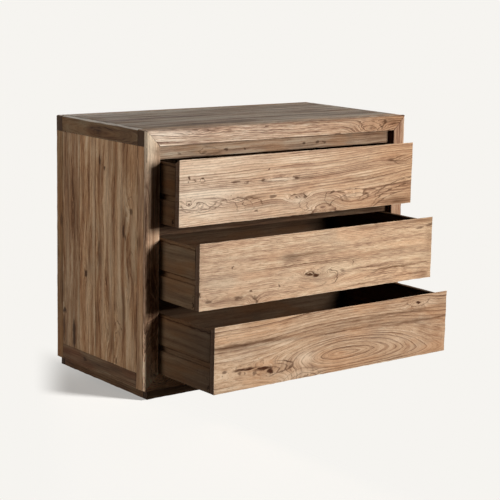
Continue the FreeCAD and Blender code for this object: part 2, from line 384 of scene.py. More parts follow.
    # arrises and end grain, from the distance to the piece's own edges
    sides = [length / 2 - (axis - length / 2).sum("ABSOLUTE") for axis, length in zip((u, v, w), lengths)]
    lowest = sides[1].sum("MINIMUM", sides[2])
    highest = sides[1].sum("MAXIMUM", sides[2])
    edgeGap = lowest.sum("MAXIMUM", highest.sum("MINIMUM", sides[0]))
    rub = finish.rise(edgeGap + (ragged - 0.3) * 8.0, 4.2, 1.4, wood["wornEdge"])
    colour = finish.blend(rub, colour, worn)
    normals = dict(zip("xyz", finish.parts(finish.coordinates("Normal"))))
    # upper faces painted paler: part fading, part painted sheen
    if wood["weathered"]:
        fadedAndSheen = finish.blend(finish.rise(streak, 0.1, -0.25, 0.7), linear(wood["weathered"]), middle)
        colour = finish.blend(finish.rise(normals["z"], *wood["faceTurn"]), colour, fadedAndSheen)
    # painted shade: one face of the board turned dark, where shade falls on it
    if wood["darkFace"]:
        letter, sign = wood["darkFace"]
        shadeFaceMask = finish.rise(normals[letter] * sign, *wood["faceTurn"], 0.95)
        colour = finish.blend(shadeFaceMask, colour, knotColour)
    endOn = normals[wood["grain"][0]].sum("ABSOLUTE") + (ragged - 0.5) * 0.3
    endMask = finish.rise(endOn, *wood["faceTurn"], wood["endShare"])
    endColour = finish.blend(finish.rise(grainNoise("speckle"), 0.3, 0.75), linear(wood["end"]), knotColour)
    colour = finish.blend(endMask, colour, endColour)

    height = fibre * 0.8 + streak * 0.5 - ringLine * 0.6 - poreMask * 0.4
    if curls is not None:
        height = height - curls * 0.5
    bump = finish.node("Bump", {
        "Strength": wood["relief"], "Distance": wood["reliefDepth"], "Height": height})
    roughness = finish.rise(fibre, -0.3, 0.3, 0.16) + (wood["roughness"] - 0.08)
    finish.surface(finish.node("BsdfPrincipled", {
        "Base Color": colour, "Roughness": roughness, "Normal": bump, "Specular IOR Level": wood["gloss"]}))
    return finish.material


bench = {
    "station": 0.016,  # spacing of the cross cuts that let a board wander
    "stationAcross": 1.5,  # as many times that across the board
    "quickStation": 3,
    "arris": 0.0012,  # general easing of every edge
    "arrisSteps": 2,
    "arrisAngle": 40,  # degrees: edges sharper than this are eased
    "smoothAngle": 38,
    "arrisReach": 0.0032,  # how far in from an arris its wear goes
    "wander": 0.0009,  # how far a face may sink below true
    "chip": 0.0022,  # how deep the wear on an arris goes
    "tongue": 0.006,  # how far a tongue stands out
    "tongueThickness": 0.007,
    "weld": 0.00001,  # points closer than this are one
    "slack": 0.0004,  # and places closer than this are the same
}
axisNumber = {"x": 0, "y": 1, "z": 2}
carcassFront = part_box("frame_top_rail")[0].y
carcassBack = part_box("rear_post_left")[1].y
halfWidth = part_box("frame_top_rail")[1].x
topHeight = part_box("frame_top_rail")[1].z


def near(value, target):
    return abs(value - target) < bench["slack"]


def bothNear(first, second, target):
    return near(first, target) and near(second, target)


def onAxis(axis, value=1.0):
    vector = Vector((0, 0, 0))
    vector[axis] = value
    return vector


def clearSelection():
    if bpy.context.object and bpy.context.object.mode != "OBJECT":
        bpy.ops.object.mode_set(mode="OBJECT")
    bpy.ops.object.select_all(action="DESELECT")


def makeActive(piece):
    clearSelection()
    piece.select_set(True)
    bpy.context.view_layer.objects.active = piece


def openMesh(piece):
    makeActive(piece)
    bpy.ops.object.mode_set(mode="EDIT")


def closeMesh():
    bpy.ops.object.mode_set(mode="OBJECT")


def pieceName(node):
    words = node.split("_")
    return words[0] + "".join(word.capitalize() for word in words[1:])


def pieceBox(piece):
    points = [vertex.co for vertex in piece.data.vertices]
    return [Vector([end(point[axis] for point in points) for axis in range(3)]) for end in (min, max)]


def sawBlank(node, *corners):  # a squared blank, as long, wide and thick as the piece
    low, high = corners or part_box(node)
    clearSelection()
    bpy.ops.mesh.primitive_cube_add(size=1, location=(low + high) / 2)
    piece = bpy.context.active_object
    piece.name = pieceName(node)
    piece.data.name = piece.name
    piece.scale = high - low
    bpy.ops.object.transform_apply(location=True, rotation=True, scale=True)
    return piece


def copyTimber(node):  # the node's own joints, merged into one clean shell
    source = frame["nodes"][node]
    piece = bpy.data.objects.new(pieceName(node), source.data.copy())
    scene.collection.objects.link(piece)
    openMesh(piece)
    bpy.ops.mesh.select_all(action="SELECT")
    bpy.ops.mesh.remove_doubles(threshold=bench["weld"])
    bpy.ops.mesh.dissolve_limited(angle_limit=math.radians(1))
    bpy.ops.mesh.normals_make_consistent(inside=False)
    closeMesh()
    bpy.ops.mesh.customdata_custom_splitnormals_clear()
    piece.data.materials.clear()
    return piece


def clearMesh(piece, kind):  # nothing picked yet, and the piece ready for picking
    openMesh(piece)
    bpy.ops.mesh.select_mode(type=kind)
    bpy.ops.mesh.select_all(action="DESELECT")
    closeMesh()


def pickFaces(piece, test):
    clearMesh(piece, "FACE")
    for face in piece.data.polygons:
        face.select = test(face.center, face.normal)
    bpy.ops.object.mode_set(mode="EDIT")


def pickEdges(piece, test):
    clearMesh(piece, "EDGE")
    points = piece.data.vertices
    for edge in piece.data.edges:
        edge.select = test(points[edge.vertices[0]].co, points[edge.vertices[1]].co)
    bpy.ops.object.mode_set(mode="EDIT")


def sawThrough(piece, point, normal, drop=False):  # a saw cut, with or without losing the offcut
    openMesh(piece)
    bpy.ops.mesh.select_all(action="SELECT")
    bpy.ops.mesh.bisect(plane_co=point, plane_no=normal, clear_outer=drop, use_fill=drop,
                        threshold=bench["weld"])
    closeMesh()


def housing(piece, low, high):  # a groove or mortise, cut with a box of its own
    cutter = sawBlank("cutter", low, high)
    makeActive(piece)
    cut = piece.modifiers.new("housing", "BOOLEAN")
    cut.operation = "DIFFERENCE"
    cut.solver = "EXACT"
    cut.object = cutter
    bpy.ops.object.modifier_apply(modifier=cut.name)
    bpy.data.objects.remove(cutter)


def tonguedBoard(node, axis, across):  # a board with a tongue along each end
    length, half = bench["tongue"], bench["tongueThickness"] / 2
    low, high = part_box(node)
    board = sawBlank(node, low + onAxis(axis, length), high - onAxis(axis, length))
    for side in (1, -1):
        low, high = pieceBox(board)
        middle = (low[across] + high[across]) / 2
        for offset in (-half, half):
            sawThrough(board, onAxis(across, middle + offset), onAxis(across))
        end = high[axis] if side > 0 else low[axis]
        pickFaces(board, lambda centre, normal: normal[axis] * side > 0.9
                  and abs(centre[axis] - end) < bench["weld"] and abs(centre[across] - middle) < half)
        bpy.ops.mesh.extrude_region_move(TRANSFORM_OT_translate={"value": tuple(onAxis(axis, length * side))})
        closeMesh()
    return board


def roundOver(piece, radius, steps, test):  # a heavier rounding on chosen edges
    pickEdges(piece, test)
    bpy.ops.mesh.bevel(offset=radius, segments=steps, affect="EDGES", clamp_overlap=True)
    closeMesh()


def wearTexture(name, size, contrast, detail):
    texture = bpy.data.textures.new(name, "CLOUDS")
    texture.noise_scale = size
    texture.noise_depth = detail
    texture.use_clamp = True  # wear only ever takes wood away
    texture.contrast = contrast
    return texture


chipWear = wearTexture("chipped", size=0.011, contrast=2.6, detail=2)
waveWear = wearTexture("wandering", size=0.13, contrast=1.0, detail=1)


def wearAway(piece, texture, depth, group=""):
    wear = piece.modifiers.new(texture.name, "DISPLACE")
    wear.texture = texture
    wear.vertex_group = group
    wear.mid_level = 0.0
    wear.strength = -depth
    wear.texture_coords = "LOCAL"
    bpy.ops.object.modifier_apply(modifier=wear.name)


def trueUp(piece, low, high):  # draws a piece that the wear has swollen back to its sawn size
    wornLow, wornHigh = pieceBox(piece)
    for axis in range(3):
        newLow, newHigh = max(wornLow[axis], low[axis]), min(wornHigh[axis], high[axis])
        piece.scale[axis] = (newHigh - newLow) / (wornHigh[axis] - wornLow[axis])
        piece.location[axis] = newLow - wornLow[axis] * piece.scale[axis]
    makeActive(piece)
    bpy.ops.object.transform_apply(location=True, rotation=False, scale=True)


def dress(piece, material):
    if not piece.material_slots:
        piece.data.materials.append(material)
    for slot in piece.material_slots:
        slot.material = material


def finishTimber(piece, node, wear, finish, acrossAxis=None):  # eases, wears, fits and paints a shaped piece
    work = dict(bench, **wear)
    low, high = pieceBox(piece)
    lengthAxis = axisNumber[finish.get("grain", woodDefaults["grain"])[0]]
    step = work["station"] * 1
    for axis, spacing in ((lengthAxis, step), (acrossAxis, step * work["stationAcross"])):
        if axis is None:
            continue
        count = max(1, round((high[axis] - low[axis]) / spacing))
        openMesh(piece)
        for number in range(1, count):
            place = onAxis(axis, low[axis] + (high[axis] - low[axis]) * number / count)
            bpy.ops.mesh.select_all(action="SELECT")
            bpy.ops.mesh.bisect(plane_co=place, plane_no=onAxis(axis), threshold=work["weld"])
        closeMesh()
    makeActive(piece)
    easing = piece.modifiers.new("easing", "BEVEL")
    easing.width = work["arris"]
    easing.segments = work["arrisSteps"]
    easing.limit_method = "ANGLE"
    easing.angle_limit = math.radians(work["arrisAngle"])
    bpy.ops.object.modifier_apply(modifier=easing.name)

    arrises = piece.vertex_groups.new(name="arrises")
    for vertex in piece.data.vertices:
        gaps = sorted(min(vertex.co[axis] - low[axis], high[axis] - vertex.co[axis]) for axis in range(3))
        if gaps[1] < work["arrisReach"]:
            arrises.add([vertex.index], 1.0, "REPLACE")
    wearAway(piece, chipWear, work["chip"], arrises.name)
    wearAway(piece, waveWear, work["wander"])
    piece.vertex_groups.clear()
    trueUp(piece, low, high)
    bpy.ops.object.shade_smooth_by_angle(angle=math.radians(work["smoothAngle"]))
    body = frame["nodes"][node]["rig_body"]
    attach(piece, body)
    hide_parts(node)
    node in slotOfNode
    dress(piece, woodFinish(node, **finish))


drawerFronts = {
    "slope": 0.012,  # fall of the top edge to the back, for the fingers
    "panelClearance": 0.0002,
    "wear": dict(arris=0.0013, wander=0.0005, chip=0.0013),
}
drawerFronts["finishes"] = {
    # each front's tone drift from end to end is painted light, the lamp falling off across it
    "upper": dict(
        end="46311e", endShare=0.95, seed=1.3, spacing=7.2, heart=(300, -260, 20), lean=0.04, sway=20,
        waver=5, ripple=1.3, tilt=-0.012, lineStrength=1.1, lineSharpness=3, streakStrength=0.75,
        streakSize=(120, 5), bandStrength=0.7, blushShare=0.2, greyShare=0.12, leftTone=(1.22, 1.37, 1.54),
        rightTone=(0.86, 0.8, 0.735),
        figures=(
            (364, 114, 74, 8, 9), (34, 68, 16, 9, 22), (76, 62, 20, 8, -18), (200, 60, 60, 16, 20),
            (435, 50, 46, 14, 30), (540, 26, 60, 22, -34), (662, 40, 76, 15, 24), (840, 140, 60, 14, 14),
            (940, 130, 280, 60, -26)),
        curls=(
            (34, 67, 10, 7, 0, -2, 1.8, 0.85), (72, 62, 14, 7, 60, -0.6, 2, 0.85),
            (66, 64, 62, 18, -90, 0, 1.6, 0.65), (70, 66, 78, 27, -90, 0.1, 1.6, 0.6),
            (150, 36, 58, 34, 60, 0.5, 1.7, 0.7), (178, 36, 60, 34, 60, 0.5, 1.7, 0.7),
            (206, 36, 60, 35, 60, 0.5, 1.7, 0.7), (238, 44, 60, 26, 65, 0.4, 1.7, 0.7),
            (45, 128, 13, 7, 90, 0, 1.8, 0.8), (80, 132, 10, 7, 0, -2, 1.7, 0.7),
            (364, 114, 66, 5, 0, -2, 1.5, 0.7), (242, 114, 9, 4, 0, -2, 1.3, 0.5),
            (436, 50, 34, 15, 90, 0.2, 2.4, 0.9), (500, 34, 60, 24, 215, 0.5, 1.4, 0.6),
            (512, 30, 44, 18, 215, 0.5, 1.3, 0.6), (562, 44, 20, 22, 190, 0.4, 1.8, 0.8),
            (600, 22, 36, 18, 160, 0.3, 1.8, 0.7), (650, 54, 94, 10, 90, 0.2, 1.9, 0.75),
            (662, 38, 56, 12, 0, -2, 1.9, 0.6), (655, 36, 30, 6, 0, -2, 1.3, 0.4),
            (930, -10, 200, 76, 110, 0.6, 2.2, 0.75), (930, -26, 200, 74, 112, 0.6, 2, 0.7),
            (930, 6, 200, 80, 108, 0.6, 2, 0.7), (880, 146, 74, 7, 180, 0.1, 1.8, 0.75),
            (886, 138, 60, 10, 180, 0.2, 1.4, 0.5)),
        knots=(
            (36, 142, 5, 4, 1), (34, 66, 4, 4, 0.7), (84, 138, 4, 3, 0.7), (70, 63, 5, 3, 0.5),
            (338, 66, 10, 5, 0.55), (430, 115, 8, 4, 0.7), (300, 116, 6, 4, 0.5), (200, 118, 12, 3, 0.6),
            (245, 114, 6, 3, 0.5), (278, 28, 6, 4, 0.6), (322, 148, 3, 3, 0.6), (462, 54, 5, 5, 0.6),
            (572, 62, 8, 4, 0.6)),
        marks=(
            (270, 68, 50, 6, 0.6), (470, 112, 40, 5, 0.45), (300, 44, 80, 10, 0.35), (850, 14, 70, 14, 0.7),
            (470, 4, 160, 6, 0.5), (700, 96, 120, 6, 0.35), (560, 30, 60, 20, 0.3)),
        pales=(
            (364, 114, 56, 4, 0.8), (110, 92, 140, 14, 0.6), (60, 60, 90, 26, 0.4), (436, 46, 24, 8, 0.6),
            (640, 44, 50, 8, 0.5), (100, 170, 140, 20, 0.4))),
    "middle": dict(
        end="554332", endShare=0.95, seed=2.7, spacing=4.6, heart=(480, -120, 60), lean=0.05, sway=18,
        waver=5.5, ripple=2.4, palest="e6ccad", blush="d0a07c", blushShare=0.35, greyShare=0.25,
        fibreStrength=1.3, streakStrength=0.75, streakSize=(46, 4.6), bandStrength=0.7, lineStrength=0.6,
        leftTone=(1.05, 1.1, 1.155), rightTone=(1.07, 1.11, 1.1),
        figures=(
            (416, 62, 50, 14, 22), (470, 46, 60, 22, 20), (200, 10, 30, 14, 16), (137, 26, 24, 8, 12),
            (28, 29, 18, 8, 10), (720, 40, 150, 22, -14)),
        curls=(
            (470, 48, 44, 24, 10, 0.35, 2.2, 0.9), (474, 48, 32, 16, 10, 0.4, 1.6, 0.5),
            (415, 36, 52, 14, -90, 0.1, 1.5, 0.4), (640, 66, 110, 14, 250, 0.2, 1.6, 0.6),
            (800, 40, 150, 14, 90, 0.2, 1.6, 0.5), (760, 28, 140, 12, 90, 0.2, 1.5, 0.45),
            (404, 64, 16, 7, 90, 0, 3, 0.9)),
        knots=(
            (424, 59, 10, 6, 0.9), (400, 64, 13, 3, 0.8), (28, 28, 12, 5, 0.55), (137, 25, 15, 5, 0.6),
            (200, 16, 9, 7, 0.55), (204, 6, 5, 7, 0.6), (118, 116, 2, 5, 0.7), (573, 84, 2, 8, 0.5),
            (287, 44, 5, 4, 0.7), (183, 40, 3, 3, 0.7), (2, 50, 4, 8, 0.8), (890, 170, 16, 5, 0.6),
            (846, 164, 14, 3, 0.5)),
        marks=(
            (760, 50, 130, 2.5, 0.9), (640, 62, 70, 2, 0.8), (830, 22, 80, 2.5, 0.8), (600, 12, 60, 2, 0.7),
            (380, 98, 200, 2.5, 0.7), (540, 92, 160, 2.5, 0.6), (400, 126, 120, 6, 0.7),
            (330, 118, 30, 12, 0.55), (860, 186, 80, 8, 0.6), (630, 186, 60, 6, 0.5),
            (120, 24, 90, 12, 0.35), (720, 106, 140, 5, 0.45), (890, 120, 16, 50, 0.4),
            (425, 56, 50, 10, 0.35), (870, 10, 20, 12, 0.5)),
        pales=(
            (520, 70, 60, 18, 0.4), (110, 66, 70, 12, 0.35), (560, 20, 120, 10, 0.3),
            (330, 60, 40, 10, 0.3))),
    "lower": dict(
        end="33261b", endShare=0.95, seed=4.1, spacing=8, lineSharpness=3.2, streakStrength=0.9,
        streakSize=(110, 4.6), heart=(470, 54, 5), lean=0.165, leanBack=0.27, leanCap=70, pointed=5, sway=14,
        waver=5, ripple=1.6, palest="e0c4a4", light="c8a684", middle="af8a6a", deep="7f5f48", lineStrength=1,
        greyShare=0.2, blushShare=0.3, bandStrength=0.3, leftTone=(1.155, 1.22, 1.33),
        rightTone=(0.83, 0.82, 0.855),
        figures=(
            (196, 44, 60, 20, 30), (778, 172, 44, 14, -24), (312, -14, 60, 34, 50), (90, 62, 80, 12, 8),
            (900, 30, 190, 70, 30)),
        curls=(
            (190, 48, 92, 20, 0, 0.4, 2, 0.9), (200, 46, 62, 15, 0, 0.4, 1.8, 0.8),
            (196, 40, 36, 14, 0, 0.2, 1.6, 0.7), (326, -22, 60, 38, 100, 0.2, 1.8, 0.55),
            (322, -22, 78, 54, 110, 0.3, 1.8, 0.45), (328, -24, 42, 28, 90, 0.2, 1.8, 0.55),
            (778, 176, 46, 16, -90, 0, 1.8, 0.6)),
        knots=(
            (200, 40, 10, 10, 0.95), (176, 52, 30, 4.5, 1), (116, 59, 40, 4, 0.95), (37, 61, 7, 4, 0.55),
            (778, 171, 9, 4, 0.85), (90, 50, 5, 6, 0.5), (145, 44, 6, 8, 0.5)),
        marks=(
            (130, 132, 180, 6, 0.9), (470, 122, 240, 3.5, 0.8), (500, 136, 200, 7, 0.3),
            (800, 114, 180, 4.5, 0.8), (60, 126, 80, 8, 0.5), (640, 148, 300, 5, 0.5),
            (200, 44, 60, 14, 0.4), (780, 146, 40, 5, 0.5)),
        pales=(
            (330, 62, 34, 20, 0.8), (230, 122, 110, 4, 0.7), (820, 166, 36, 10, 0.6),
            (700, 66, 90, 14, 0.35), (310, 16, 60, 12, 0.5))),
}


def houseBottom(piece, drawer):  # the groove that holds the drawer's bottom
    low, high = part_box("drawer_bottom_" + drawer)
    clearance = Vector([drawerFronts["panelClearance"]] * 3)
    housing(piece, low - clearance, high + clearance)


for drawer, finish in drawerFronts["finishes"].items():
    node = "drawer_front_" + drawer
    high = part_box(node)[1]
    front = sawBlank(node)
    pickEdges(front, lambda a, b: bothNear(a.y, b.y, high.y) and bothNear(a.z, b.z, high.z))
    bpy.ops.transform.translate(value=(0, 0, -drawerFronts["slope"]))
    closeMesh()
    houseBottom(front, drawer)
    finishTimber(front, node, drawerFronts["wear"], finish, 2)
print("drawer fronts shaped")

drawerBoxes = {
    "grooveDepth": 0.008,  # the groove that the runner lies in
    "grooveRise": 0.072,
    "grooveHeight": 0.017,
    "grooveRun": 0.001,  # how far its cutter goes past the ends and the face
    "wood": dict(
        end="33271d", spacing=8, lineStrength=0.22, wornEdge=0.1, bandStrength=0.8, streakStrength=0.45,
        fibreStrength=0.5, blushShare=0.6, sway=16, gloss=0.03),
    "sideFaults": dict(
        # painted shadow lines under the groove's upper lip and along the top edge; the knots are small dark
        # marks near the front
        marks=((200, 86, 600, 2.5, 1), (200, 173, 600, 2.2, 1)),
        knots=((9, 14, 3, 8, 1), (10, 40, 2, 4, 0.7))),
    # painted shade: each drawer's sides are stained and drift darker or lighter to match the shade they stand
    # in
    "sides": {
        "upper": dict(stain=(0.18, 0.145, 0.11)),
        "middle": dict(stain=(0.39, 0.34, 0.29), leftTone=(0.88, 0.96, 1), rightTone=(0.6, 0.6, 0.6)),
        "lower": dict(stain=(0.25, 0.235, 0.205), leftTone=(0.76, 0.79, 0.89), rightTone=(1.6, 1.48, 1.3)),
    },
    "insideStain": (0.182, 0.166, 0.155),
    "sideSeed": 10,
    "insideSeed": 17,
    "sideWear": dict(wander=0.0004, chip=0.0008, station=0.02),
    "insideWear": dict(wander=0.0003, chip=0.0006, station=0.03),
}

for number, drawer in enumerate(("lower", "middle", "upper")):
    for hand, sign in (("left", -1), ("right", 1)):
        node = "drawer_side_%s_%s" % (drawer, hand)
        low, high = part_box(node)
        side = sawBlank(node)
        houseBottom(side, drawer)
        run = drawerBoxes["grooveRun"]
        outer = low.x if sign < 0 else high.x
        walls = sorted((outer - sign * drawerBoxes["grooveDepth"], outer + sign * run))
        foot = low.z + drawerBoxes["grooveRise"]
        housing(side, Vector((walls[0], low.y - run, foot)),
                Vector((walls[1], high.y + run, foot + drawerBoxes["grooveHeight"])))
        finish = dict(drawerBoxes["wood"], grain="yzx", seed=drawerBoxes["sideSeed"] + number * 2 + sign)
        finish.update(drawerBoxes["sideFaults"], **drawerBoxes["sides"][drawer])
        finishTimber(side, node, drawerBoxes["sideWear"], finish)
    for part, grain in (("back", "xzy"), ("bottom", "xyz")):
        node = "drawer_%s_%s" % (part, drawer)
        finish = dict(drawerBoxes["wood"], grain=grain, seed=drawerBoxes["insideSeed"] + number,
                      stain=drawerBoxes["insideStain"])
        finishTimber(sawBlank(node), node, drawerBoxes["insideWear"], finish)
print("drawer boxes shaped")

frontFrame = {
    "outerRound": 0.006,
    "roundSteps": 3,
    "wear": dict(arris=0.0007, wander=0.0005, chip=0.0012),
    "seed": 21,
    "wood": dict(
        stain=(0.88, 0.88, 0.88), gloss=0.06, blush="c79a76", blushShare=0.25, greyShare=0.2, spacing=6,
        heart=(0, -160, 40), lineStrength=1, lineSharpness=3, streakStrength=1.2, fibreStrength=1.5,
        streakSize=(130, 4.6), wornEdge=0.3, sway=16),
}
frontFrame["members"] = {
    # painted light: bright at its left end, falling off to the right
    "frame_top_rail": dict(
        grain="xzy", leftTone=(1.46, 1.7, 2.02), rightTone=(0.81, 0.69, 0.59), heart=(0, -60, 30), lean=0.06,
        tilt=0.012,
        figures=((850, 4, 70, 22, 34), (500, 30, 200, 12, 8), (180, 24, 120, 14, 10)),
        curls=((846, -8, 40, 30, 70, 0.2, 2, 0.6), (846, -8, 60, 42, 70, 0.3, 2, 0.6)),
        knots=((912, 30, 8, 4, 0.6), (715, 2, 10, 3, 0.5)),
        marks=((600, 40, 200, 5, 0.5), (250, 12, 160, 4, 0.4), (930, 30, 40, 8, 0.5)),
        pales=((90, 34, 70, 8, 0.5), (780, 38, 60, 6, 0.4))),
    # painted light: its end-to-end drift brightens the left end, where the drawers shade it, and darkens it
    # to the right
    "frame_bottom_rail": dict(
        grain="xzy", stain=(0.78, 0.7, 0.62), leftTone=(2.35, 2.28, 2.25), rightTone=(0.7, 0.7, 0.7),
        figures=((60, 20, 50, 20, 24),), pales=((44, 24, 50, 18, 0.5), (20, 30, 24, 12, 0.4)),
        marks=((170, 24, 70, 16, 0.6), (74, 26, 8, 14, 0.6), (160, 24, 60, 34, 0.55))),
    # painted light: the drift brightens its shaded foot and paints a highlight at its head, the pale patch at
    # its head is a painted highlight, and its marks are dark grain and the drawers' painted shadows
    "frame_stile_left": dict(
        grain="zxy", heart=(400, -30, 20), lean=0.03, leftTone=(1.9, 1.88, 1.86),
        rightTone=(1.2, 1.27, 1.33), greyShare=0.05,
        figures=((70, 10, 90, 26, 34), (250, 40, 90, 20, -24)),
        knots=((140, 30, 24, 6, 0.6), (330, 12, 8, 4, 0.6)),
        marks=(
            (230, 24, 150, 7, 1), (160, 37, 130, 5, 0.9), (250, 34, 60, 14, 0.8), (360, 30, 100, 10, 0.9),
            (560, 40, 90, 4, 0.5), (610, 38, 90, 12, 0.9), (300, 14, 50, 20, 0.7), (505, 14, 60, 24, 0.35),
            (540, 24, 85, 34, 0.4), (340, 24, 60, 30, 0.4), (215, 24, 30, 30, 0.4)),
        pales=(
            (740, 16, 90, 22, 1), (480, 14, 50, 8, 0.3), (60, 18, 80, 9, 0.55), (24, 36, 30, 8, 0.5),
            (22, 18, 40, 24, 0.8))),
    # painted shade: its inner face is painted dark
    "frame_stile_right": dict(grain="zxy", stain=(0.68, 0.6, 0.58), darkFace=("x", -1)),
}


def outerEdge(a, b):  # edges on the outside of the carcass, front or side
    onSides = bothNear(a.x, b.x, -halfWidth) or bothNear(a.x, b.x, halfWidth)
    return bothNear(a.y, b.y, carcassFront) and (onSides or bothNear(a.z, b.z, topHeight))


for number, (node, finish) in enumerate(frontFrame["members"].items()):
    low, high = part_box(node)
    member = sawBlank(node)
    if "rail" in node:
        flip = 1 if "top" in node else -1
        outerZ = high.z if flip > 0 else low.z
        for sign in (-1, 1):
            sawThrough(member, (sign * halfWidth, 0, outerZ), (sign, 0, -flip), True)
    else:
        sign = 1 if "right" in node else -1
        sawThrough(member, (sign * halfWidth, 0, high.z), (-sign, 0, 1), True)
        sawThrough(member, (sign * halfWidth, 0, low.z), (-sign, 0, -1), True)
    roundOver(member, frontFrame["outerRound"], frontFrame["roundSteps"], outerEdge)
    finish = dict(frontFrame["wood"], seed=frontFrame["seed"] + number, **finish)
    finishTimber(member, node, frontFrame["wear"], finish)
print("front frame shaped")

carcassSides = {
    "seed": {"left": 30, "right": 35},
    "wear": dict(arris=0.0007, wander=0.0005, chip=0.0008, station=0.03),
    "wood": dict(
        stain=(0.9, 0.785, 0.635), end="4b3827", spacing=6.5, sway=40, waver=14, ripple=2.8,
        heart=(300, -120, 20), lean=0.05, bandStrength=1.6, bandWidth=19, streakStrength=1.1,
        streakSize=(110, 3.2), fibreStrength=1.6, palest="efdcc7", deep="8c6548", lineStrength=0.65,
        lineSharpness=3, blush="a98262", blushShare=0.35, wornEdge=0.12, endShare=0.9, knot="3e281a"),
}
carcassSides["boards"] = {
    1: dict(
        knots=((479, 31, 10, 7, 0.6), (417, 72, 16, 5, 0.75), (402, 62, 8, 4, 0.6), (20, 110, 9, 5, 0.6)),
        figures=((470, 40, 50, 20, 20), (260, 30, 70, 20, 18), (104, 96, 110, 30, 30)),
        marks=(
            (430, 68, 60, 12, 0.75), (170, 70, 110, 8, 0.6), (250, 20, 60, 6, 0.7), (290, 44, 60, 6, 0.6),
            (590, 60, 80, 10, 0.4), (330, 50, 60, 14, 0.3)),
        curls=(
            (70, 100, 70, 30, 0, 0.3, 1.8, 0.6), (60, 100, 50, 20, 0, 0.3, 1.6, 0.5),
            (500, 32, 24, 12, 0, 0.1, 1.6, 0.5), (300, 30, 60, 20, 20, 0.3, 1.6, 0.45)),
        pales=(
            (300, 96, 200, 10, 0.6), (60, 20, 70, 12, 0.5), (520, 84, 120, 9, 0.5), (380, 22, 90, 8, 0.5),
            (180, 46, 90, 8, 0.5))),
    2: dict(
        figures=((100, 20, 90, 20, 16), (330, 84, 70, 16, 12)),
        marks=(
            (332, 85, 46, 7, 0.8), (340, 78, 90, 14, 0.55), (590, 80, 70, 12, 0.6), (120, 96, 120, 8, 0.55),
            (60, 10, 40, 18, 0.35)),
        pales=((520, 40, 140, 14, 0.6), (300, 20, 160, 10, 0.55), (210, 62, 130, 8, 0.5)),
        knots=((610, 82, 15, 5, 0.7), (589, 54, 6, 4, 0.7), (352, 84, 14, 4, 0.5))),
    3: dict(
        pales=((400, 12, 200, 7, 0.7), (180, 44, 120, 10, 0.4), (640, 16, 40, 14, 0.4)),
        marks=((529, 37, 80, 5, 0.85), (330, 34, 60, 6, 0.6), (257, 53, 40, 9, 0.45), (160, 20, 120, 6, 0.5)),
        knots=((257, 53, 10, 7, 0.75),), figures=((257, 53, 46, 12, 12),)),
    # painted shade: the rear board is stained darker, the side falling darker towards the back
    4: dict(
        stain=(0.67, 0.59, 0.49),
        knots=((118, 86, 9, 10, 0.75), (60, 92, 36, 5, 0.5), (48, 32, 44, 8, 0.7)),
        figures=((118, 86, 40, 12, 14), (420, 30, 160, 16, 12)),
        marks=((48, 32, 60, 12, 0.6), (70, 90, 60, 9, 0.7), (520, 66, 110, 7, 0.5), (400, 26, 160, 6, 0.4)),
        pales=((280, 70, 160, 9, 0.4), (30, 70, 50, 8, 0.4))),
}

for hand in ("left", "right"):
    for number, finish in carcassSides["boards"].items():
        node = "side_board_%d_%s" % (number, hand)
        seed = carcassSides["seed"][hand] + number
        finish = dict(carcassSides["wood"], grain="zyx", seed=seed, **finish)
        if hand == "right":
            finish.update(knots=(), figures=(), marks=(), curls=(), pales=())
        finishTimber(tonguedBoard(node, 2, 0), node, carcassSides["wear"], finish, 1)
print("side boards shaped")

